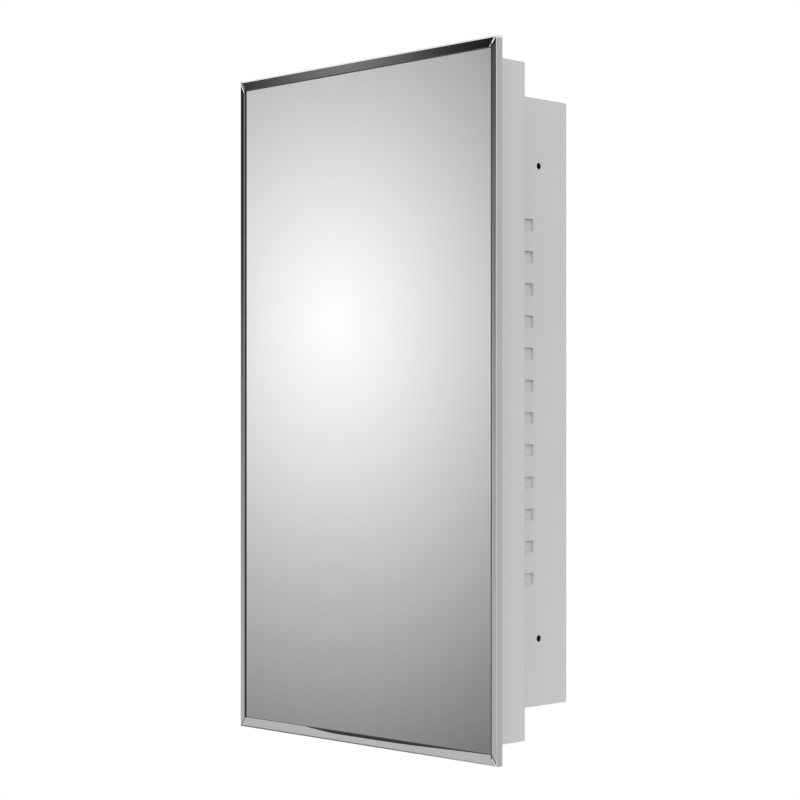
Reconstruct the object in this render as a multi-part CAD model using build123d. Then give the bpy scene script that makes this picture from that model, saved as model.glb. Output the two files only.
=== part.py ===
from build123d import *
import os

# Medicine cabinet with a framed mirror door. A folded steel box goes into the wall, and a wider collar stands
# in front of the wall and carries the door. Sizes are in millimetres. The origin is the middle of the wall
# opening, in the plane of the wall: +X is to the right of someone facing the door, +Y goes into the wall.

# Overall sizes
door_w = 355.6
door_h = 660.4
door_t = 9.5
collar_depth = 44.5
collar_overhang = 15.875        # the door stands out past the collar by this much all round
box_overhang = 41.275           # and past the recessed box by this much
box_depth = 88.9

# Folded steel body
sheet = 0.9
fold = 1.5                      # inside radius of a fold
seam_fold = 0.8                 # inside radius where the box turns out over the collar
collar_lip = 16.0               # front edge of the collar, turned in behind the door
box_lip = 8.0                   # front edge of the box, turned out inside the collar
back_lip = 12.0                 # rear edge of the box, turned in behind the back panel

# Lanced shelf rests, one column on each side wall
rest_pitch = 30.5
rest_margin = 115.4             # plain wall above the uppermost rest and below the lowest one
rest_l = 38.0
rest_h = 11.5
rest_in = 3.0                   # how far a rest is pressed in
rest_cheek = 0.3                # how far the pressed face is shorter than its mouth at each end
rest_foot = 1.6                 # and at its lower edge
rest_y = 20.5                   # middle of a rest, behind the wall's face

# Dished screw holes in the side walls
dish_d = 26.0
dish_floor_d = 14.0
dish_depth = 1.0
wall_screw_d = 6.35
wall_screw_y = 48.5
wall_screw_margin = 63.925      # from the end of the box to the hole

# Shelves
shelf_t = 5.0
shelf_depth = 120.0
shelf_side_gap = 1.0
shelf_back_gap = 3.0
shelf_corner = 4.0
shelf_names = ["shelf_top", "shelf_middle", "shelf_bottom"]

# Door frame: a thin rolled channel
channel = 0.6
rail_w = 10.3                   # face of the top and bottom rails
stile_w = 7.0                   # face of the two stiles
face_fall = 0.9                 # how far the face falls back from its inner edge to its outer edge
edge_r = 1.2
ridge_r = 0.8
rear_r = 1.1
mirror_recess = 1.9
stile_lip = 8.0                 # rear edge of a stile, turned in behind the backing board
pan = 0.7
pan_inset = 1.0
mirror_t = 3.0
mirror_gap = 1.8
board_gap = 0.6
key_leg = 32.0
key_w = 6.5
key_screw_at = 24.0             # from the frame's corner to the screw in each leg of a key

# Gap behind the door, and the hinge that fills it
door_gap = 4.0
pin_d = 2.0
pin_play = 0.05                 # radial
knuckle_clear = 0.15            # from the knuckles to the collar's front and to the door's back
knuckle_side = 0.425            # from the knuckles to the collar's side
knuckle_pitch = 25.0
knuckle_gap = 0.3
hinge_margin = 14.0             # least distance from the end of the hinge to the end of the collar
leaf_t = 0.8
leaf_w = 14.0
leaf_clear = 0.35
rivet_d = 3.2
rivet_head_d = 5.4
rivet_head_h = 0.9
rivet_tail = 0.6                # how far the closed end stands out round the shank
rivet_count = 6
rivet_at = 9.0                  # from the pin to the line of rivets

# Magnetic catch
catch_h = 58.0
catch_w = 11.0
catch_body_d = 11.0
nose_h = 27.0
nose_w = 9.0
magnet_h = 24.0
magnet_w = 3.6
magnet_d = 10.0
pole_t = 1.2
pole_proud = 0.3
strike_gap = 0.2
strike_t = 0.8
strike_w = 13.0
strike_h = 50.0

# Small screws
screw_d = 2.9
screw_head_d = 5.0
screw_head_h = 1.2
cross = (2.6, 0.6)              # length and width of each slot of the crossed recess
hole_play = 0.1                 # radial, round screws and rivets
slide_play = 0.2                # all round parts that slide into a slot or pocket

# Bumpers
bumper_d = 10.0
bumper_gap = 0.3
bumper_margin = 39.325          # from the end of the collar to a bumper

# Staking mark pressed into the outside of the door's free edge
stake_h = 4.5
stake_w = 1.4
stake_depth = 0.25
stake_z = -90.0

# Places worked out from the sizes above
collar_w = door_w - 2 * collar_overhang
collar_h = door_h - 2 * collar_overhang
box_w = door_w - 2 * box_overhang
box_h = door_h - 2 * box_overhang
y_collar = -collar_depth
y_pan = y_collar - door_gap
y_lip = y_pan - pan
y_front = y_pan - door_t
y_mirror = y_front + mirror_recess
y_mirror_back = y_mirror + mirror_t
y_pin = y_collar - door_gap / 2
knuckle_d = door_gap - 2 * knuckle_clear
x_pin = -collar_w / 2 - knuckle_side - knuckle_d / 2
x_catch = collar_w / 2 - collar_lip / 2
reach = 60.0                    # longer than any section is deep, for the mitre cuts


def folded(points, radii, thickness):
    """Section of a folded strip. The points run along its outer face, with the metal to their left."""
    path = FilletPolyline(*points, radius=radii)
    return make_face(offset(path, amount=thickness, side=Side.LEFT))


def mitred(section, span, length, turn, lean):
    """One side of a frame with mitred corners. The section has its outer face on x = 0 and its inside towards
    -X. span is the frame's outer size across this side, length its outer size along it, and turn swings the
    side round the frame, from 0 on the right. lean is how far the mitre runs back along the side for each
    millimetre across it."""
    bar = extrude(Pos(span / 2, 0, 0) * section, amount=length / 2 + reach, both=True)
    outer_x, outer_z = span / 2 + reach, length / 2 + reach * lean
    inner_x, inner_z = span / 2 - reach, length / 2 - reach * lean
    cutter = Polyline((outer_x, 0, outer_z), (inner_x, 0, inner_z), (inner_x, 0, -inner_z),
                      (outer_x, 0, -outer_z), close=True)
    wedge = extrude(make_face(cutter), amount=box_depth * 2, both=True)
    return Rot(0, turn, 0) * (bar & wedge)


def ring(upright, level, width, height, lean=1.0):
    """All four sides of a mitred frame, by name, from the sections of its upright and its level sides."""
    return {"right": mitred(upright, width, height, 0, lean),
            "left": mitred(upright, width, height, 180, lean),
            "top": mitred(level, height, width, -90, 1 / lean),
            "bottom": mitred(level, height, width, 90, 1 / lean)}


def plate(x0, x1, y0, y1, z0, z1):
    """A block between two opposite corners."""
    middle = Pos((x0 + x1) / 2, (y0 + y1) / 2, (z0 + z1) / 2)
    return middle * Box(abs(x1 - x0), abs(y1 - y0), abs(z1 - z0))


def along_y(radius, y0, y1):
    """A round bar or a round hole's cutter along Y, from y0 to y1, at x = z = 0."""
    return Pos(0, (y0 + y1) / 2, 0) * Rot(90, 0, 0) * Cylinder(radius, abs(y1 - y0))


def screw(length, towards):
    """A pan-head screw along Y with a crossed recess. Its head sits on y = 0 and points to +Y or -Y."""
    head = fillet(Cylinder(screw_head_d / 2, screw_head_h).edges().group_by(Axis.Z)[-1], screw_head_h * 0.45)
    long, narrow = cross
    recess = Pos(0, 0, screw_head_h / 2) * (Box(long, narrow, screw_head_h) + Box(narrow, long, screw_head_h))
    shank = Cylinder(screw_d / 2, length, align=(Align.CENTER, Align.CENTER, Align.MAX))
    whole = Pos(0, 0, screw_head_h / 2) * (head - recess) + shank
    return Rot(-90 * towards, 0, 0) * whole


def rivet(grip, towards):
    """A set rivet along Y: a domed head on y = 0, pointing to +Y or -Y, and the closed end past the grip."""
    head = fillet(Cylinder(rivet_head_d / 2, rivet_head_h).edges().group_by(Axis.Z)[-1], rivet_head_h * 0.8)
    shank = Cylinder(rivet_d / 2, grip, align=(Align.CENTER, Align.CENTER, Align.MAX))
    tail = Cylinder(rivet_d / 2 + rivet_tail, rivet_head_h, align=(Align.CENTER, Align.CENTER, Align.MAX))
    return Rot(-90 * towards, 0, 0) * (Pos(0, 0, rivet_head_h / 2) * head + shank + Pos(0, 0, -grip) * tail)


def at_each(shape, places):
    """Copies of a shape at a list of (x, y, z) places, as separate solids in one node."""
    return Compound(children=[Pos(*place) * shape for place in places])


def holes(part, radius, y0, y1, places):
    """Round holes along Y through a part, at the x and z of each place."""
    for x, _, z in places:
        part -= Pos(x, 0, z) * along_y(radius, y0, y1)
    return part


# Collar: four channels, open towards the inside of the cabinet, spot-welded at the mitres

collar_section = folded([(-collar_lip, y_collar), (0, y_collar), (0, 0), (seam_fold - box_overhang
                         + collar_overhang, 0)], [fold + sheet, fold + sheet], sheet)
collar = ring(collar_section, collar_section, collar_w, collar_h)

# Box: four walls whose front edges turn out behind the collar's rear edge and whose rear edges turn in

box_section = folded([(box_lip, -sheet), (0, -sheet), (0, box_depth), (-back_lip, box_depth)],
                     [seam_fold, fold + sheet], sheet)
box = ring(box_section, box_section, box_w, box_h)
inner_w = box_w - 2 * sheet
inner_h = box_h - 2 * sheet
back_y = box_depth - sheet
box_back = plate(-inner_w / 2 + fold, inner_w / 2 - fold, back_y - sheet, back_y,
                 -inner_h / 2 + fold, inner_h / 2 - fold)


rest_top = box_h / 2 - rest_margin
rest_count = int((box_h - 2 * rest_margin - rest_h) / rest_pitch) + 1
rest_tops = [rest_top - step * rest_pitch for step in range(rest_count)]


def side_outline(x, half_y, low, high):
    """A rectangle parallel to the side walls."""
    return make_face(Polyline((x, -half_y, low), (x, half_y, low), (x, half_y, high), (x, -half_y, high),
                              close=True))


def pressing(grow):
    """The tapering shape of a shelf rest pressed in from the right wall's outer face, enlarged by grow."""
    mouth = side_outline(0, rest_l / 2 + grow, -rest_h - grow, 0)
    face = side_outline(-rest_in - grow, rest_l / 2 - rest_cheek + grow, rest_foot - rest_h - grow, 0)
    return loft([mouth, face])


def screw_dish():
    """The dished ring round a screw hole of the right wall, pressed in towards the inside."""
    outer = [(0, dish_d / 2), (-dish_depth, dish_floor_d / 2), (-dish_depth, wall_screw_d / 2)]
    inner = [(x - sheet, r) for x, r in reversed(outer)]
    return revolve(make_face(Polyline(*outer, *inner, close=True)), Axis.X, 360)


# Each rest is slit along its top and pressed in below the slit. The upper edge of the pressed face carries
# the shelf. The two lists hold what is cut out of a right wall at x = 0, and what fills the cut.
cuts = [Pos(0, rest_y, top) * pressing(0) for top in rest_tops]
fills = [Pos(0, rest_y, top) * (pressing(sheet) - pressing(0)) for top in rest_tops]
for z in (wall_screw_margin - box_h / 2, box_h / 2 - wall_screw_margin):
    cuts.append(Pos(0, wall_screw_y, z) * Rot(0, 90, 0) * Cylinder(dish_d / 2, 2 * sheet))
    fills.append(Pos(0, wall_screw_y, z) * screw_dish())
for cut, fill in zip(cuts, fills):
    cut, fill = Pos(box_w / 2, 0, 0) * cut, Pos(box_w / 2, 0, 0) * fill
    box["right"] = box["right"] - cut + fill
    box["left"] = box["left"] - mirror(cut, Plane.YZ) + mirror(fill, Plane.YZ)

# Shelves: glass plates that lie on the rests and reach forward into the collar

shelves = {}
for number, name in enumerate(shelf_names):
    low = rest_tops[rest_count * (2 * number + 1) // (2 * len(shelf_names))]
    back = back_y - sheet - shelf_back_gap
    glass = plate(-inner_w / 2 + shelf_side_gap, inner_w / 2 - shelf_side_gap, back - shelf_depth, back,
                  low, low + shelf_t)
    glass = fillet(glass.edges().filter_by(Axis.Z), shelf_corner)
    shelves[name] = chamfer(glass.edges().group_by(Axis.Z)[0] + glass.edges().group_by(Axis.Z)[-1], 0.6)

# Door frame: a rolled channel whose face falls away outwards from a ridge next to the mirror. The rails are
# wider than the stiles, and the mitres lean to suit.

mitre_lean = rail_w / stile_w
rail_lip = stile_lip * mitre_lean


def channel_section(face, lip):
    """Section of the channel, from its front edge on the mirror to its rear edge."""
    return folded([(-face, y_mirror), (-face, y_front), (0, y_front + face_fall), (0, y_lip), (-lip, y_lip)],
                  [ridge_r, edge_r, rear_r], channel)


stile_section, rail_section = channel_section(stile_w, stile_lip), channel_section(rail_w, rail_lip)
frame = ring(stile_section, rail_section, door_w, door_h, mitre_lean)
stake_y = y_lip - (door_t - pan - face_fall) / 2
stake = extrude(SlotOverall(stake_h, stake_w), amount=stake_depth, both=True)
frame["right"] -= Pos(door_w / 2, stake_y, stake_z) * Rot(0, 90, 0) * stake

half_mirror = [size / 2 - channel - mirror_gap for size in (door_w, door_h)]
mirror_glass = plate(-half_mirror[0], half_mirror[0], y_mirror, y_mirror_back,
                     -half_mirror[1], half_mirror[1])

half_board = [door_w / 2 - stile_lip - board_gap, door_h / 2 - rail_lip - board_gap]
board_back = y_lip - hole_play
backing_board = plate(-half_board[0], half_board[0], y_mirror_back, board_back, -half_board[1], half_board[1])

door_back_pan = plate(-door_w / 2 + pan_inset, door_w / 2 - pan_inset, y_lip, y_pan,
                      -door_h / 2 + pan_inset, door_h / 2 - pan_inset)

# Corner keys: flat L pieces inside the channel, behind the mirror

key_y0 = y_mirror_back + hole_play
key_y1 = y_lip - channel - hole_play
key_in = rear_r + slide_play
keys = []
key_screws = []
for side_x in (-1, 1):
    for side_z in (-1, 1):
        x = side_x * (door_w / 2 - key_in)
        z = side_z * (door_h / 2 - key_in)
        leg_x = plate(x, x - side_x * key_leg, key_y0, key_y1, z, z - side_z * key_w)
        leg_z = plate(x, x - side_x * key_w, key_y0, key_y1, z, z - side_z * key_leg)
        keys.append(leg_x + leg_z)
        key_screws.append((side_x * (door_w / 2 - key_screw_at), y_pan, z - side_z * key_w / 2))
        key_screws.append((x - side_x * key_w / 2, y_pan, side_z * (door_h / 2 - key_screw_at)))
key_hole = screw_d / 2 + hole_play
key_screw_l = y_pan - key_y0 - hole_play
frame_screws = at_each(screw(key_screw_l, 1), key_screws)
keys = [holes(key, key_hole, key_y0 - 1, key_y1 + 1, key_screws) for key in keys]
door_back_pan = holes(door_back_pan, key_hole, y_lip - 1, y_pan + 1, key_screws)
for name in frame:
    frame[name] = holes(frame[name], key_hole, y_lip - channel - hole_play, y_lip + 1, key_screws)

# Hinge: a continuous hinge in the gap behind the door, with leaves that lie flat on collar and pan

knuckle_count = 2 * int((collar_h - 2 * hinge_margin) / (2 * knuckle_pitch))
hinge_l = knuckle_count * knuckle_pitch
knuckle_l = knuckle_pitch - knuckle_gap
clear_x = x_pin + knuckle_d / 2 + leaf_clear
pin_hole = pin_d / 2 + pin_play


def knuckle_z(number):
    """Middle of a knuckle, counted from the bottom."""
    return (number + 0.5) * knuckle_pitch - hinge_l / 2


def hinge_leaf(first, y0, y1):
    """A leaf between y0 and y1 with every second knuckle, starting at the one given."""
    leaf = plate(clear_x, x_pin + leaf_w, y0, y1, -hinge_l / 2 + knuckle_gap, hinge_l / 2 - knuckle_gap)
    leaf = fillet(leaf.edges().filter_by(Axis.Y).group_by(Axis.X)[-1], leaf_t * 2)
    for number in range(first, knuckle_count, 2):
        z = knuckle_z(number)
        leaf += Pos(x_pin, y_pin, z) * Cylinder(knuckle_d / 2, knuckle_l)
        leaf += plate(x_pin, clear_x + 1, y0, y1, z - knuckle_l / 2, z + knuckle_l / 2)
    return leaf - Pos(x_pin, y_pin, 0) * Cylinder(pin_hole, hinge_l + 1)


body_leaf = hinge_leaf(0, y_collar - leaf_t, y_collar)
door_leaf = hinge_leaf(1, y_pan, y_pan + leaf_t)
hinge_pin = Pos(x_pin, y_pin, 0) * chamfer(Cylinder(pin_d / 2, hinge_l).edges(), 0.3)

rivet_step = hinge_l / rivet_count
rivet_z = [(number + 0.5) * rivet_step - hinge_l / 2 for number in range(rivet_count)]
body_rivet_places = [(x_pin + rivet_at, y_collar - leaf_t, z) for z in rivet_z]
door_rivet_places = [(x_pin + rivet_at, y_pan + leaf_t, z) for z in rivet_z]
rivet_hole = rivet_d / 2 + hole_play
body_leaf = holes(body_leaf, rivet_hole, y_collar - leaf_t - 1, y_collar + 1, body_rivet_places)
collar["left"] = holes(collar["left"], rivet_hole, y_collar - 1, y_collar + sheet + 1, body_rivet_places)
door_leaf = holes(door_leaf, rivet_hole, y_pan - 1, y_pan + leaf_t + 1, door_rivet_places)
door_back_pan = holes(door_back_pan, rivet_hole, y_lip - 1, y_pan + 1, door_rivet_places)
board_pocket = rivet_d / 2 + rivet_tail + 2 * hole_play
backing_board = holes(backing_board, board_pocket, y_mirror_back, y_lip + 1, door_rivet_places)
body_rivets = at_each(rivet(leaf_t + sheet, -1), body_rivet_places)
door_rivets = at_each(rivet(leaf_t + pan, 1), door_rivet_places)

# Magnetic catch: a housing behind the collar's lip, with its nose through a slot in the lip

pole_front = y_pan + strike_t + strike_gap
nose_front = pole_front + pole_proud
lip_back = y_collar + sheet
pocket_w = magnet_w + 2 * pole_t
pocket_back = nose_front + magnet_d
slot = plate(x_catch - nose_w / 2 - slide_play, x_catch + nose_w / 2 + slide_play, y_collar - 1, lip_back + 1,
             -nose_h / 2 - slide_play, nose_h / 2 + slide_play)
housing = plate(x_catch - catch_w / 2, x_catch + catch_w / 2, lip_back, lip_back + catch_body_d,
                -catch_h / 2, catch_h / 2)
housing = fillet(housing.edges().filter_by(Axis.Y), 2)
nose = plate(x_catch - nose_w / 2, x_catch + nose_w / 2, nose_front, lip_back, -nose_h / 2, nose_h / 2)
housing += fillet(nose.edges().filter_by(Axis.Y), 1)
housing -= plate(x_catch - pocket_w / 2, x_catch + pocket_w / 2, nose_front - 1, pocket_back,
                 -magnet_h / 2, magnet_h / 2)
magnet = plate(x_catch - magnet_w / 2, x_catch + magnet_w / 2, nose_front, pocket_back,
               -magnet_h / 2, magnet_h / 2)
poles = Compound(children=[plate(x_catch + side * magnet_w / 2, x_catch + side * pocket_w / 2, pole_front,
                                 pocket_back, -magnet_h / 2, magnet_h / 2) for side in (-1, 1)])
catch_screw_z = (catch_h + nose_h) / 4
catch_places = [(x_catch, y_collar, side * catch_screw_z) for side in (-1, 1)]
catch_screws = at_each(screw(catch_body_d - 2, -1), catch_places)
housing = holes(housing, key_hole, lip_back - 1, y_collar + catch_body_d - 1.5, catch_places)
collar["right"] = holes(collar["right"] - slot, key_hole, y_collar - 1, lip_back + 1, catch_places)

# Strike plate on the back of the door, opposite the catch

strike_screw_z = strike_h / 2 - screw_head_d / 2 - 0.5
strike_places = [(x_catch, y_pan + strike_t, side * strike_screw_z) for side in (-1, 1)]
strike_plate = plate(x_catch - strike_w / 2, x_catch + strike_w / 2, y_pan, y_pan + strike_t,
                     -strike_h / 2, strike_h / 2)
strike_plate = fillet(strike_plate.edges().filter_by(Axis.Y), 2)
strike_screw_l = strike_t + y_pan - y_mirror_back - 0.5
strike_screws = at_each(screw(strike_screw_l, 1), strike_places)
strike_plate = holes(strike_plate, key_hole, y_pan - 1, y_pan + strike_t + 1, strike_places)
door_back_pan = holes(door_back_pan, key_hole, y_lip - 1, y_pan + 1, strike_places)
backing_board = holes(backing_board, key_hole, y_mirror_back, y_lip + 1, strike_places)

# Bumpers on the collar's lip, near the free edge of the door

bumper_h = door_gap - bumper_gap
bumper = fillet(Cylinder(bumper_d / 2, bumper_h).edges().group_by(Axis.Z)[-1], 1.2)
bumper_z = collar_h / 2 - bumper_margin
bumper_places = [(x_catch, y_collar - bumper_h / 2, side * bumper_z) for side in (-1, 1)]
bumpers = at_each(Rot(90, 0, 0) * bumper, bumper_places)

# One file for each piece

nodes = {"box_" + side: part for side, part in box.items()}
nodes.update({"collar_" + side: part for side, part in collar.items()})
nodes.update(shelves)
nodes.update({"frame_top_rail": frame["top"], "frame_bottom_rail": frame["bottom"],
              "frame_left_stile": frame["left"], "frame_right_stile": frame["right"]})
nodes.update({
    "box_back": box_back,
    "hinge_body_leaf": body_leaf,
    "hinge_pin": hinge_pin,
    "hinge_body_rivets": body_rivets,
    "catch_housing": housing,
    "catch_magnet": magnet,
    "catch_pole_plates": poles,
    "catch_screws": catch_screws,
    "door_bumpers": bumpers,
    "frame_corner_keys": Compound(children=keys),
    "frame_screws": frame_screws,
    "mirror_glass": mirror_glass,
    "backing_board": backing_board,
    "door_back_pan": door_back_pan,
    "hinge_door_leaf": door_leaf,
    "hinge_door_rivets": door_rivets,
    "strike_plate": strike_plate,
    "strike_screws": strike_screws,
})

os.makedirs("parts", exist_ok=True)
for name, part in nodes.items():
    export_step(part, "parts/" + name + ".step")
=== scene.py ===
import math

import bpy
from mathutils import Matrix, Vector


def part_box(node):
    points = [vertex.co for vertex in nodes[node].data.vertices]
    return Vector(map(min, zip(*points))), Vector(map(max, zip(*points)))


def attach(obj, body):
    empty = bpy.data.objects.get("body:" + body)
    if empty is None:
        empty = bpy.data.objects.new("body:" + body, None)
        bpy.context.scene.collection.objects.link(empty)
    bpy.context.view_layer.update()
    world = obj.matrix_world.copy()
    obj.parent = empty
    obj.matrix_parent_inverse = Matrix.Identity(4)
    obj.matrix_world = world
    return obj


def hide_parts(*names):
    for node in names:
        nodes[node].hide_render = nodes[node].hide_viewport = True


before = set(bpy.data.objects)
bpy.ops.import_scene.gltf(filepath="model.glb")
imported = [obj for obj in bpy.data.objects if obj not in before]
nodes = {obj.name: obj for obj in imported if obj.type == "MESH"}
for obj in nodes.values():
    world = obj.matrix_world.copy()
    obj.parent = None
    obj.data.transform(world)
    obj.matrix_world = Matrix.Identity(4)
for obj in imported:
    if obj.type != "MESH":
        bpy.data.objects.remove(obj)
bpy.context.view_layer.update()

MM = 0.001

# ---------------------------------------------------------------------------------------------------------
# Camera. It stands out from the wall and to the right of the door, near the height of its middle, and looks
# level along the diagonal. Places are shares of the door's own height.

door_low, door_high = Vector(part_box("frame_left_stile")[0]), Vector(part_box("frame_right_stile")[1])
door_height = door_high.z - door_low.z
door_edge = Vector((door_high.x, door_low.y, door_low.z))
camera_distance = 2.7697 * door_height
camera_height = 0.4635 * door_height
camera_side = Vector((0.67405, -0.73868, 0))
look_azimuth = math.radians(45.1)
lens_length, sensor_width, lens_shift = 91.26, 36, 0.0345

camera = bpy.data.objects.new("camera", bpy.data.cameras.new("camera"))
bpy.context.scene.collection.objects.link(camera)
camera.location = door_edge + camera_side * camera_distance + Vector((0, 0, camera_height))
camera.rotation_euler = (math.pi / 2, 0, look_azimuth)
camera.data.sensor_width = sensor_width
camera.data.lens = lens_length
camera.data.shift_y = lens_shift
camera.data.clip_start, camera.data.clip_end = 0.05, 100
bpy.context.scene.camera = camera

# ---------------------------------------------------------------------------------------------------------
# Shader arithmetic, first needed by the studio light below. An expression on these values adds its Math
# nodes; every other node comes from node().


class Value:
    """One output socket of a node tree."""

    def __init__(self, tree, socket=None):
        self.tree = tree
        self.socket = socket

    def node(self, kind, settings=None, sockets=None, output=0):
        made = self.tree.nodes.new(kind)
        for name, setting in (settings or {}).items():
            if name == "stops":
                ramp = made.color_ramp.elements
                while len(ramp) < len(setting):
                    ramp.new(0.5)
                for stop, (position, colour) in zip(ramp, setting):
                    stop.position = position
                    stop.color = colour
            else:
                setattr(made, name, setting)
        for name, value in (sockets or {}).items():
            if isinstance(value, Value):
                self.tree.links.new(value.socket, made.inputs[name])
            else:
                made.inputs[name].default_value = value
        return Value(self.tree, made.outputs[output]) if made.outputs else None

    def math(self, operation, *others):
        operands = {0: self}
        for place, other in enumerate(others):
            operands[place + 1] = other
        return self.node("ShaderNodeMath", {"operation": operation}, operands)

    def flipped(self, operation, other):
        return self.node("ShaderNodeMath", {"operation": operation}, {0: other, 1: self})

    def __add__(self, other): return self.math("ADD", other)
    def __radd__(self, other): return self.math("ADD", other)
    def __sub__(self, other): return self.math("SUBTRACT", other)
    def __rsub__(self, other): return self.flipped("SUBTRACT", other)
    def __mul__(self, other): return self.math("MULTIPLY", other)
    def __rmul__(self, other): return self.math("MULTIPLY", other)
    def __truediv__(self, other): return self.math("DIVIDE", other)
    def __pow__(self, other): return self * self if other == 2 else self.math("POWER", other)
    def __rpow__(self, other): return self.flipped("POWER", other)

    def between(self, low, high):
        """0 at low and 1 at high, eased at both ends."""
        return self.node("ShaderNodeMapRange", {"interpolation_type": "SMOOTHSTEP"},
                         {"Value": self, "From Min": low, "From Max": high})

    def part(self, axis):
        """The x, y or z of a vector."""
        return self.node("ShaderNodeSeparateXYZ", {}, {0: self}, "XYZ".index(axis))

    def blend(self, low, high):
        """A colour from low to high as this value goes from 0 to 1."""
        return self.node("ShaderNodeMix", {"data_type": "RGBA"}, {0: self, 6: low, 7: high}, 2)

    def shade(self):
        """The grey of this brightness, as a colour."""
        return self.node("ShaderNodeCombineXYZ", {}, {0: self, 1: self, 2: self})


# ---------------------------------------------------------------------------------------------------------
# Studio. A pale room with soft even light and a white floor, and for the polished surfaces the things such a
# room holds: a round soft light to the left of the door, a floor that shades away to a dark wall behind it,
# a bright roof, and white screens and a low window on the right. Directions are in degrees.

floor_grey, near_floor_grey, far_floor_grey = 0.59, 0.68, 0.22
window_grey, roof_grey = 1.3, 1.15
light_from_below, light_from_above, loss_behind = 0.535, 0.87, 0.4
backdrop_grey = 1.0
wall_stops = ((-180, 0.62), (-136, 0.62), (-105, 0.53), (-66, 0.53), (-48, 0.95), (-2, 0.95), (14, 0.50),
              (24, 0.06), (32, 0.03), (140, 0.02), (160, 0.62), (180, 0.62))
lamp_bearing, lamp_height = 46.95, 2.99
lamp_wide, lamp_tall = 8.94, 12.62
lamp_peak, lamp_foot, lamp_falloff = 1.297, 0.233, 1.271
flare_peak, flare_bearing, flare_wide = 0.30, 48.5, 1.9
disc_drop, disc_radius = 1.0, 0.9


def grey(value):
    return (value, value, value, 1)


world = bpy.data.worlds.new("studio")
bpy.context.scene.world = world
world.use_nodes = True
sky = world.node_tree
sky.nodes.clear()
start = Value(sky)
direction = start.node("ShaderNodeTexCoord")
east, north, up = (direction.part(axis) for axis in "XYZ")
degrees = 180 / math.pi
# The bearing is 0 straight out of the door and 90 to its left.
bearing = (east * -1).math("ARCTAN2", north * -1) * degrees
height = up.math("ARCSINE") * degrees

around = (bearing + 180) / 360
stops = [((angle + 180) / 360, grey(value)) for angle, value in wall_stops]
wall = around.node("ShaderNodeValToRGB", {"stops": stops}, {0: around})
far_left = bearing.between(30, 62)
on_the_right = 1 - bearing.between(-30, 0)
floor_shade = height.between(14 - far_left * 7 - on_the_right * 24, -6 - far_left * 2.5 - on_the_right * 10)
room = floor_shade.blend(wall, grey(floor_grey))
near_floor = height.between(-11, -14) * bearing.between(20, 34) * bearing.between(62, 54)
room = near_floor.blend(room, grey(near_floor_grey))
far_floor = height.between(-19, -24) * bearing.between(50, 58) * bearing.between(150, 130)
room = far_floor.blend(room, grey(far_floor_grey))
low_window = height.between(-13, -18) * bearing.between(14, 5) * bearing.between(-70, -60)
room = low_window.blend(room, grey(window_grey))

lamp_reach = (((bearing - lamp_bearing) / lamp_wide) ** 2 + ((height - lamp_height) / lamp_tall) ** 2) ** 0.5
lamp = (lamp_peak * math.e ** (lamp_reach ** lamp_falloff * -1) - lamp_foot).math("MAXIMUM", 0.0)
flare = flare_peak * math.e ** (((bearing - flare_bearing) / flare_wide) ** 2 * -1)
behind_lamp = bearing.between(31, 40) * bearing.between(60, 52)
room = (behind_lamp * height.between(-14, -11) * height.between(14, 11)).blend(room, lamp.shade())
room = (behind_lamp * height.between(11, 14)).blend(room, flare.shade())
reflected = height.between(25, 31).blend(room, grey(roof_grey))

soft = up.between(-1, 1).blend(grey(light_from_below), grey(light_from_above))
soft = soft.node("ShaderNodeVectorMath", {"operation": "SCALE"}, {0: soft, "Scale": 1 - north * loss_behind})

ray = sky.nodes.new("ShaderNodeLightPath")
glossy, seen = Value(sky, ray.outputs["Is Glossy Ray"]), Value(sky, ray.outputs["Is Camera Ray"])
light = seen.blend(glossy.blend(soft, reflected), grey(backdrop_grey))
background = start.node("ShaderNodeBackground", {}, {"Color": light, "Strength": 1.0})
start.node("ShaderNodeOutputWorld", {}, {"Surface": background})
bpy.context.scene.view_settings.view_transform = "Standard"

bpy.ops.mesh.primitive_circle_add(vertices=128, radius=disc_radius, fill_type="NGON",
                                  location=(0, 0, door_low.z - disc_drop))
floor = bpy.context.object
floor.name = "studio_floor"
floor_paint = bpy.data.materials.new("studio_floor")
floor_paint.use_nodes = True
floor_paint.node_tree.nodes["Principled BSDF"].inputs["Base Color"].default_value = (0.93, 0.93, 0.93, 1)
floor_paint.node_tree.nodes["Principled BSDF"].inputs["Roughness"].default_value = 0.9
floor.data.materials.append(floor_paint)

# ---------------------------------------------------------------------------------------------------------
# Steel body: a box that goes into the wall and a collar in front of it, folded from 0.9 mm sheet, welded and
# powder coated in a light warm grey. The coat lies in a fine orange peel and rounds every cut edge.

coat_round, cut_edge_angle, fold_angle = 0.2 * MM, 50, 35
weld_reach = 0.002 * MM


def material(name, **constants):
    """A new material, its shader, and the place on the piece that its patterns read."""
    made = bpy.data.materials.new(name)
    made.use_nodes = True
    shader = made.node_tree.nodes["Principled BSDF"]
    for socket, value in constants.items():
        shader.inputs[socket.replace("_", " ")].default_value = value
    start = Value(made.node_tree)
    place = start.node("ShaderNodeTexCoord", output=3)
    return made, shader, place


def feed(shader, **values):
    """Links varying values to the shader's sockets."""
    for socket, value in values.items():
        value.tree.links.new(value.socket, shader.inputs[socket.replace("_", " ")])


def noise(place, scale, detail=2.0, rough=0.5):
    return place.node("ShaderNodeTexNoise", {}, {"Vector": place, "Scale": scale, "Detail": detail,
                                                 "Roughness": rough})


def stretched(place, along, factor):
    """The place, squeezed along one axis so that a pattern runs in lines along it."""
    squeeze = tuple(factor if axis == along else 1.0 for axis in "XYZ")
    return place.node("ShaderNodeVectorMath", {"operation": "MULTIPLY"}, {0: place, 1: squeeze})


def bump(height, distance):
    return height.node("ShaderNodeBump", {}, {"Height": height, "Distance": distance, "Strength": 1.0})


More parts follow.
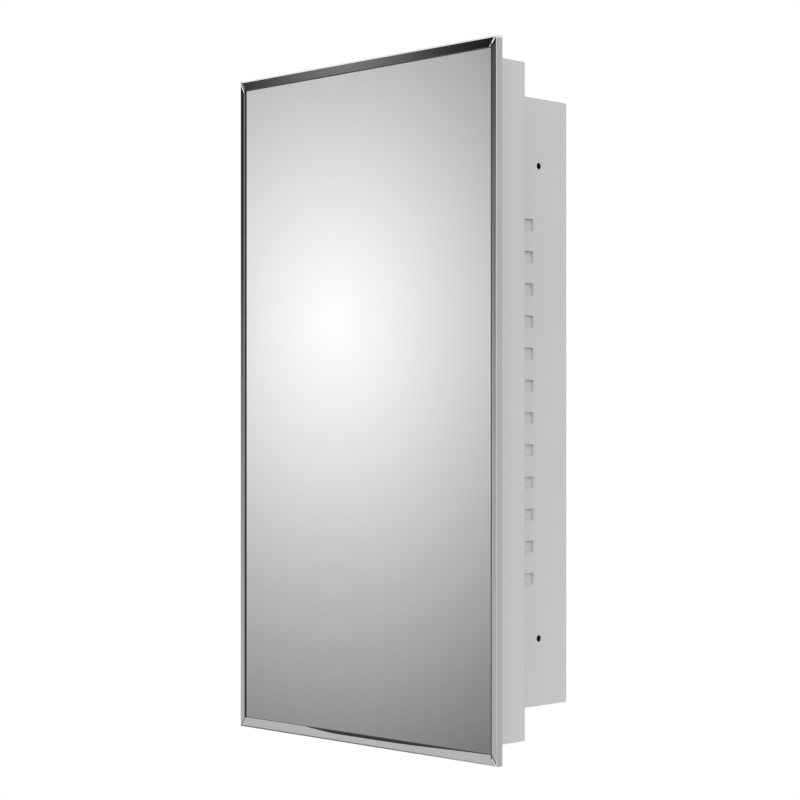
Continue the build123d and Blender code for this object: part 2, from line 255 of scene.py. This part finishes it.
def flat_faces_flat(piece, angle):
    """Smooth shading over the rounded edges that leaves the flat faces between them truly flat."""
    bpy.ops.object.shade_smooth_by_angle(angle=math.radians(angle))
    even = piece.modifiers.new("even", "WEIGHTED_NORMAL")
    even.keep_sharp = True
    even.weight = 100
    bpy.ops.object.modifier_apply(modifier=even.name)


def powder_coat():
    made, shader, place = material("powder_coat", IOR=1.5)
    peel = noise(place, 900, 3.0) * 0.6 + noise(place, 350, 2.0) * 0.4
    cloud = noise(place, 9, 3.0)
    feed(shader, Base_Color=cloud.between(0.25, 0.75).blend((0.778, 0.778, 0.774, 1),
                                                            (0.796, 0.796, 0.793, 1)),
         Roughness=0.36 + cloud * 0.08 + peel * 0.05, Normal=bump(peel, 0.00006))
    return made


def finished_copy(node, rim, finish):
    """The node's own shape, merged into one skin with its cut edges rounded and its folds shaded smooth."""
    bpy.ops.object.select_all(action="DESELECT")
    source = nodes[node]
    source.select_set(True)
    bpy.context.view_layer.objects.active = source
    bpy.ops.object.duplicate()
    piece = bpy.context.object
    piece.parent = None
    for key in [key for key in piece.keys() if key.startswith("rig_")]:
        del piece[key]
    piece.name = node + "_" + finish.name
    bpy.ops.object.mode_set(mode="EDIT")
    bpy.ops.mesh.select_all(action="SELECT")
    bpy.ops.mesh.customdata_custom_splitnormals_clear()
    bpy.ops.mesh.remove_doubles(threshold=weld_reach)
    bpy.ops.mesh.dissolve_limited(angle_limit=math.radians(1))
    bpy.ops.object.mode_set(mode="OBJECT")
    edge = piece.modifiers.new("rim", "BEVEL")
    edge.width = rim
    edge.segments = 2
    edge.limit_method = "ANGLE"
    edge.angle_limit = math.radians(cut_edge_angle)
    bpy.ops.object.modifier_apply(modifier=edge.name)
    flat_faces_flat(piece, fold_angle)
    piece.data.materials.clear()
    piece.data.materials.append(finish)
    return piece


coat = powder_coat()
for node in ("box_right", "box_left", "box_top", "box_bottom", "box_back", "collar_right", "collar_left",
             "collar_top", "collar_bottom"):
    panel = finished_copy(node, coat_round, coat)
    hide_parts(node)
    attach(panel, "cabinet")

# ---------------------------------------------------------------------------------------------------------
# Shelves: three sheets of 5 mm float glass that lie loose on the rests of the box. Their edges are ground,
# and looking into an edge shows the green of the glass.

ground_edge = 1.2 * MM


def repaint(node, finish):
    """The node's own shape in a new finish."""
    nodes[node].data.materials.clear()
    nodes[node].data.materials.append(finish)


def shelf_glass(low, high):
    made, shader, place = material("shelf_glass", IOR=1.52, Transmission_Weight=1.0)
    x, y = place.part("X"), place.part("Y")
    inset = (high[0] - x.math("ABSOLUTE")).math("MINIMUM", y - low[1]).math("MINIMUM", high[1] - y)
    rim = 1 - inset.between(0, ground_edge)
    grain = noise(place, 2500)
    feed(shader, Base_Color=rim.blend((0.95, 0.985, 0.97, 1), (0.55, 0.80, 0.70, 1)),
         Roughness=0.01 + rim * (0.2 + grain * 0.15))
    return made


glass = shelf_glass(*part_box("shelf_top"))
for node in ("shelf_top", "shelf_middle", "shelf_bottom"):
    repaint(node, glass)

# ---------------------------------------------------------------------------------------------------------
# Door frame: four lengths of stainless channel, rolled from 0.6 mm strip, polished and mitred at the corners.
# The strip runs up out of the glass, turns over a ridge, falls away outwards and wraps the door's edge.
# Painted shade, a near-black line where glass meets frame, stands in for the gap's shadow; a stake has marked
# the right-hand stile.

channel_thickness = 0.6 * MM
rail_width, stile_width = 10.3 * MM, 7.0 * MM
lip_height = 1.9 * MM
face_fall = 0.9 * MM
ridge_radius, crisp_ridge, rear_radius = 0.8 * MM, 0.35 * MM, 1.1 * MM
stile_edge, rail_edge = 1.2 * MM, 2.2 * MM
stile_lip = 8.0 * MM
rim_round, rim_angle, bend_angle = 0.25 * MM, 40, 32
line_depth = 0.001 * MM
mitre_lean = rail_width / stile_width
mitre_round, mitre_depth = 2.5 * MM, 1.1 * MM
# Places, widths and softness of the painted shade lines where the glass meets the frame, in place of the
# gap's shadow.
shade_line_depth, shade_line_reach = 0.43 * MM, 0.725 * MM
shade_line_soft, shade_band_soft = 0.05 * MM, 0.1 * MM
side_shade_band, top_shade_band = 1.3 * MM, 0.4 * MM
least_shade_band, most_shade_band = -0.8 * MM, 2.8 * MM
stake_level = -90 * MM
stake_size = (0.9 * MM, 1.6 * MM, 4.5 * MM)


def stile_shade_band(place):
    """The width of painted shade along the glass on a stile: a dark line on the right-hand one, none on the
    left-hand one.
    """
    return place.part("X").between(-1 * MM, 1 * MM) * side_shade_band


def rail_shade_band(place):
    """On a rail: painted shade along the top, and along the bottom a painted shade band, none at the left,
    widest in the middle, narrower to the right.
    """
    x, at_bottom = place.part("X"), place.part("Z").between(1 * MM, -1 * MM)
    shade_spread = x.between(-100 * MM, -30 * MM) * (1 - 0.8 * x.between(30 * MM, 190 * MM))
    return top_shade_band + at_bottom * (least_shade_band - top_shade_band + shade_spread * (most_shade_band - least_shade_band))


def polished_steel(along, across, span, face_width, shade_width):
    """Steel with its polishing lines along one axis, mitres turned in, and painted shade beside the glass."""
    made, shader, place = material("polished_steel_" + along.lower())
    lines = noise(stretched(place, along, 0.01), 4000, 2.0)
    haze = noise(place, 18, 3.0)
    inset = span - place.part(across).math("ABSOLUTE")
    # A near-black band on the lip and along the glass is painted shade for the gap between glass and frame.
    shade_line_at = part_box("mirror_glass")[0][1] - lip_height + shade_line_depth
    lip = face_width - shade_line_reach
    painted_shade = inset.between(lip - shade_line_soft / 2, lip + shade_line_soft / 2)
    painted_shade *= place.part("Y").between(shade_line_at - shade_line_soft, shade_line_at + shade_line_soft)
    shade_edge = face_width - shade_width(place)
    painted_shade = painted_shade.math("MAXIMUM", inset.between(shade_edge - shade_band_soft, shade_edge + shade_band_soft))
    inset_x = door_high.x - place.part("X").math("ABSOLUTE")
    inset_z = door_high.z - place.part("Z").math("ABSOLUTE")
    from_mitre = (inset_z - inset_x * mitre_lean).math("ABSOLUTE") / math.hypot(1, mitre_lean)
    turned_in = (1 - from_mitre / mitre_round).math("MAXIMUM", 0.0) ** 2 * mitre_depth
    steel = haze.between(0.3, 0.7).blend((0.66, 0.66, 0.65, 1), (0.69, 0.69, 0.68, 1))
    # The painted shade band is near-black, not metal and rougher than the steel.
    feed(shader, Base_Color=painted_shade.blend(steel, (0.012, 0.012, 0.012, 1)), Metallic=1 - painted_shade,
         Roughness=0.05 + lines * 0.04 + haze * 0.03 + painted_shade * 0.4,
         Normal=bump(lines * line_depth - turned_in, 1.0))
    return made


def select_edges(piece, test):
    """In edit mode, selects just the edges whose two ends both pass the test."""
    bpy.ops.mesh.select_all(action="DESELECT")
    bpy.ops.object.mode_set(mode="OBJECT")
    mesh = piece.data
    for edge in mesh.edges:
        edge.select = all(test(mesh.vertices[end].co) for end in edge.vertices)
    bpy.ops.object.mode_set(mode="EDIT")


def rolled_member(node, half_span, half_length, face_width, rear_lip, edge_radius, lean, turn, finish):
    """One mitred length, rolled on the right-hand side of the door and turned round to its place."""
    face_angle = math.atan2(face_fall, face_width)
    ridge_loss = ridge_radius * ((1 + math.sin(face_angle)) / math.cos(face_angle) - 1)
    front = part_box(node)[0][1] - ridge_loss
    near = 0.01 * MM
    bpy.ops.object.select_all(action="DESELECT")
    bpy.ops.mesh.primitive_plane_add(size=1, rotation=(0, math.pi / 2, 0),
                                     location=(half_span - face_width, front + lip_height / 2, 0))
    piece = bpy.context.object
    piece.name = "polished_" + node
    piece.dimensions = (2 * half_length, lip_height, 0)
    bpy.ops.object.transform_apply(location=True, rotation=True, scale=True)
    bpy.ops.object.mode_set(mode="EDIT")
    bpy.ops.mesh.select_mode(type="EDGE")
    select_edges(piece, lambda co: abs(co.y - front) < near)
    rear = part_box(node)[1][1]
    folds = [(half_span - face_width, front)]
    for step in ((face_width, face_fall), (0, rear - front - face_fall), (-rear_lip, 0)):
        bpy.ops.mesh.extrude_region_move(TRANSFORM_OT_translate={"value": (step[0], step[1], 0)})
        folds.append((folds[-1][0] + step[0], folds[-1][1] + step[1]))
    turns = (math.pi / 2 + face_angle, math.pi / 2 - face_angle, math.pi / 2)
    for (x, y), radius, bend in zip(folds, (crisp_ridge, edge_radius, rear_radius), turns):
        select_edges(piece, lambda co: abs(co.x - x) < near and abs(co.y - y) < near)
        bpy.ops.mesh.bevel(offset=radius * math.tan(bend / 2), segments=8, affect="EDGES")
    bpy.ops.mesh.select_all(action="SELECT")
    bpy.ops.mesh.normals_make_consistent(inside=False)
    bpy.ops.object.mode_set(mode="OBJECT")
    face = max(piece.data.polygons, key=lambda polygon: polygon.area * (rear - polygon.center.y))
    wall = piece.modifiers.new("wall", "SOLIDIFY")
    wall.thickness = channel_thickness
    wall.offset = -1 if face.normal.y < 0 else 1
    bpy.ops.object.modifier_apply(modifier=wall.name)
    bpy.ops.object.mode_set(mode="EDIT")
    for end in (1, -1):
        bpy.ops.mesh.select_all(action="SELECT")
        bpy.ops.mesh.bisect(plane_co=(half_span, 0, end * half_length), plane_no=(-lean, 0, end),
                            use_fill=True, clear_outer=True)
    bpy.ops.mesh.select_all(action="SELECT")
    bpy.ops.mesh.normals_make_consistent(inside=False)
    bpy.ops.object.mode_set(mode="OBJECT")
    rim = piece.modifiers.new("rim", "BEVEL")
    rim.width = rim_round
    rim.segments = 2
    rim.limit_method = "ANGLE"
    rim.angle_limit = math.radians(rim_angle)
    bpy.ops.object.modifier_apply(modifier=rim.name)
    flat_faces_flat(piece, bend_angle)
    piece.rotation_euler = (0, turn, 0)
    bpy.ops.object.transform_apply(rotation=True)
    piece.data.materials.append(finish)
    return piece


stile = (door_high.x, door_high.z, stile_width, stile_lip, stile_edge, mitre_lean)
rail = (door_high.z, door_high.x, rail_width, stile_lip * mitre_lean, rail_edge, 1 / mitre_lean)
upright_steel = polished_steel("Z", "X", door_high.x, stile_width, stile_shade_band)
level_steel = polished_steel("X", "Z", door_high.z, rail_width, rail_shade_band)
for node, shape, turn, steel in (
        ("frame_right_stile", stile, 0, upright_steel),
        ("frame_left_stile", stile, math.pi, upright_steel),
        ("frame_top_rail", rail, -math.pi / 2, level_steel),
        ("frame_bottom_rail", rail, math.pi / 2, level_steel)):
    member = rolled_member(node, *shape, turn, steel)
    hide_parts(node)
    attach(member, "door")

# The stake mark: a shallow oval dent in the outside of the right-hand stile, a little below its middle.
right_stile = bpy.data.objects["polished_frame_right_stile"]
side_low, side_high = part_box("frame_right_stile")
bpy.ops.object.select_all(action="DESELECT")
bpy.ops.mesh.primitive_uv_sphere_add(segments=32, ring_count=24, radius=0.5,
                                     location=(side_high[0], (side_low[1] + side_high[1]) / 2, stake_level))
stake = bpy.context.object
stake.scale = stake_size
bpy.ops.object.transform_apply(location=True, rotation=True, scale=True)
bpy.ops.object.select_all(action="DESELECT")
right_stile.select_set(True)
bpy.context.view_layer.objects.active = right_stile
mark = right_stile.modifiers.new("mark", "BOOLEAN")
mark.object = stake
bpy.ops.object.modifier_apply(modifier=mark.name)
bpy.data.objects.remove(stake)
flat_faces_flat(right_stile, bend_angle)

# ---------------------------------------------------------------------------------------------------------
# Mirror: one pane of 3 mm float glass, silvered on its back and with arrised edges. It lies behind the
# frame's front edge, and the backing board presses it forward.

arris_width = 0.5 * MM


def silvered_glass():
    made, shader, place = material("silvered_glass", Metallic=1.0)
    wipe = noise(stretched(place, "X", 0.35), 30, 4.0)
    feed(shader, Base_Color=wipe.between(0.2, 0.8).blend((0.925, 0.935, 0.932, 1), (0.932, 0.942, 0.939, 1)),
         Roughness=wipe.between(0.55, 0.9) * 0.012)
    return made


mirror_low, mirror_high = (Vector(corner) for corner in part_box("mirror_glass"))
bpy.ops.object.select_all(action="DESELECT")
bpy.ops.mesh.primitive_cube_add(size=1, location=(mirror_low + mirror_high) / 2)
pane = bpy.context.object
pane.name = "silvered_pane"
pane.dimensions = mirror_high - mirror_low
bpy.ops.object.transform_apply(location=True, rotation=True, scale=True)
arris = pane.modifiers.new("arris", "BEVEL")
arris.width = arris_width
arris.segments = 2
bpy.ops.object.modifier_apply(modifier=arris.name)
pane.data.materials.append(silvered_glass())
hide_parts("mirror_glass")
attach(pane, "door")

# ---------------------------------------------------------------------------------------------------------
# Back of the door: a painted steel pan, screwed to the frame's corner keys, over a hardboard sheet that
# presses the mirror forward.

pan_round = 0.15 * MM

pan = finished_copy("door_back_pan", pan_round, coat)
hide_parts("door_back_pan")
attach(pan, "door")


def hardboard():
    made, shader, place = material("hardboard", Roughness=0.85)
    fibre = noise(place, 600, 6.0, 0.7)
    feed(shader, Base_Color=fibre.between(0.3, 0.7).blend((0.20, 0.13, 0.075, 1), (0.33, 0.22, 0.13, 1)),
         Normal=bump(fibre, 0.0002))
    return made


repaint("backing_board", hardboard())

# ---------------------------------------------------------------------------------------------------------
# Hinge, fasteners and catch: nickel-plated hinge strip drawn along its length, bright zinc on the screws and
# plates, a moulded white housing, a ferrite magnet and two soft bumpers.


def drawn_steel():
    made, shader, place = material("drawn_steel", Metallic=1.0)
    lines = noise(stretched(place, "Z", 0.004), 5000, 3.0)
    feed(shader, Base_Color=lines.between(0.3, 0.7).blend((0.56, 0.55, 0.53, 1), (0.64, 0.63, 0.61, 1)),
         Roughness=0.2 + lines * 0.15, Normal=bump(lines, 0.00001))
    return made


def bright_zinc():
    made, shader, place = material("bright_zinc", Metallic=1.0)
    grain = noise(place, 900, 3.0)
    patch = noise(place, 120, 2.0)
    feed(shader, Base_Color=patch.between(0.35, 0.65).blend((0.60, 0.62, 0.66, 1), (0.68, 0.67, 0.63, 1)),
         Roughness=0.22 + grain * 0.2, Normal=bump(grain, 0.00001))
    return made


def moulded_plastic():
    made, shader, place = material("moulded_plastic", IOR=1.49)
    grain = noise(place, 2200, 2.0)
    feed(shader, Base_Color=noise(place, 60).between(0.3, 0.7).blend((0.80, 0.80, 0.77, 1),
                                                                     (0.84, 0.84, 0.81, 1)),
         Roughness=0.42 + grain * 0.12, Normal=bump(grain, 0.00003))
    return made


def ferrite():
    made, shader, place = material("ferrite", IOR=1.6)
    grain = noise(place, 1800, 5.0, 0.7)
    feed(shader, Base_Color=grain.between(0.3, 0.8).blend((0.018, 0.018, 0.02, 1), (0.06, 0.06, 0.065, 1)),
         Roughness=0.55 + grain * 0.25, Normal=bump(grain, 0.00006))
    return made


def soft_bumper():
    made, shader, place = material("soft_bumper", IOR=1.45)
    bloom = noise(place, 400, 3.0)
    feed(shader, Base_Color=bloom.between(0.3, 0.7).blend((0.52, 0.53, 0.53, 1), (0.60, 0.61, 0.61, 1)),
         Roughness=0.3 + bloom * 0.2, Normal=bump(bloom, 0.00003))
    return made


drawn, zinc = drawn_steel(), bright_zinc()
for node, finish in {"hinge_body_leaf": drawn, "hinge_door_leaf": drawn, "hinge_pin": drawn,
                     "hinge_body_rivets": zinc, "hinge_door_rivets": zinc, "catch_screws": zinc,
                     "frame_screws": zinc, "strike_screws": zinc, "strike_plate": zinc,
                     "catch_pole_plates": zinc, "frame_corner_keys": zinc,
                     "catch_housing": moulded_plastic(), "catch_magnet": ferrite(),
                     "door_bumpers": soft_bumper()}.items():
    repaint(node, finish)
